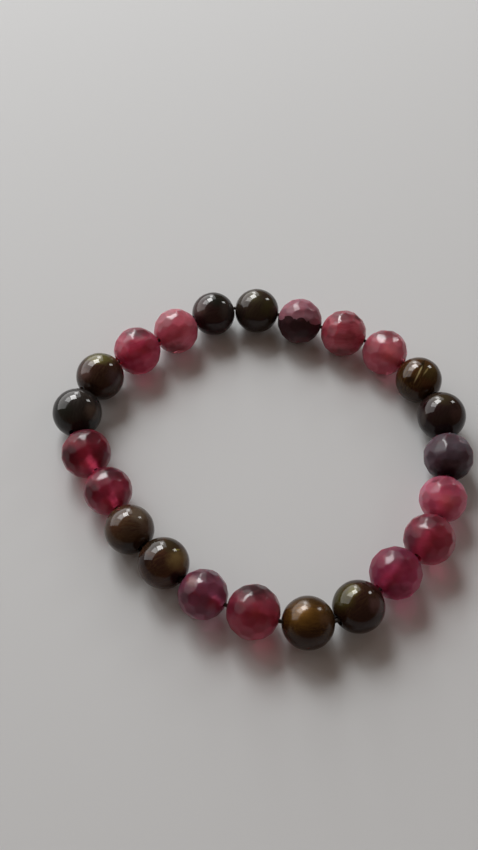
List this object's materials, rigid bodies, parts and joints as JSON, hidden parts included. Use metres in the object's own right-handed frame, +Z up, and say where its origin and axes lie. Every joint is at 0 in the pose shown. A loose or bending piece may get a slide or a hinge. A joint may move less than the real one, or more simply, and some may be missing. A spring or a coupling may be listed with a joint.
{
  "type": "gemstone bracelet",
  "caption": "Stretch bracelet of round gemstone beads, smooth and faceted, in dark olive, gold, pink and crimson, on an elastic cord, lying flat.",
  "frame": {"origin": "middle of the loop's bounding box, on the surface it lies on", "axes": "+Z up out of the surface it lies on; +X to the right and +Y away as the picture's viewer sees it"},
  "size_m": [0.0705, 0.068, 0.0084],
  "materials": {
    "dark_tigers_eye": "polished",
    "gold_tigers_eye": "polished",
    "pink_agate": "polished, faceted",
    "crimson_agate": "polished, faceted",
    "halved_agate": "polished, faceted, half mauve and half black",
    "grey_agate": "satin, faceted",
    "elastic_cord": "clear stretch cord, which shows the dark of the stones behind it"
  },
  "bodies": {
    "root": {"bead_01": "dark_tigers_eye", "bead_02": "dark_tigers_eye", "bead_03": "halved_agate", "bead_04": "pink_agate", "bead_05": "pink_agate", "bead_06": "gold_tigers_eye", "bead_07": "dark_tigers_eye", "bead_08": "grey_agate", "bead_09": "pink_agate", "bead_10": "crimson_agate", "bead_11": "crimson_agate", "bead_12": "gold_tigers_eye", "bead_13": "gold_tigers_eye", "bead_14": "crimson_agate", "bead_15": "crimson_agate", "bead_16": "gold_tigers_eye", "bead_17": "gold_tigers_eye", "bead_18": "crimson_agate", "bead_19": "crimson_agate", "bead_20": "dark_tigers_eye", "bead_21": "gold_tigers_eye", "bead_22": "pink_agate", "bead_23": "pink_agate", "elastic_cord": "elastic_cord"}
  },
  "joints": []
}
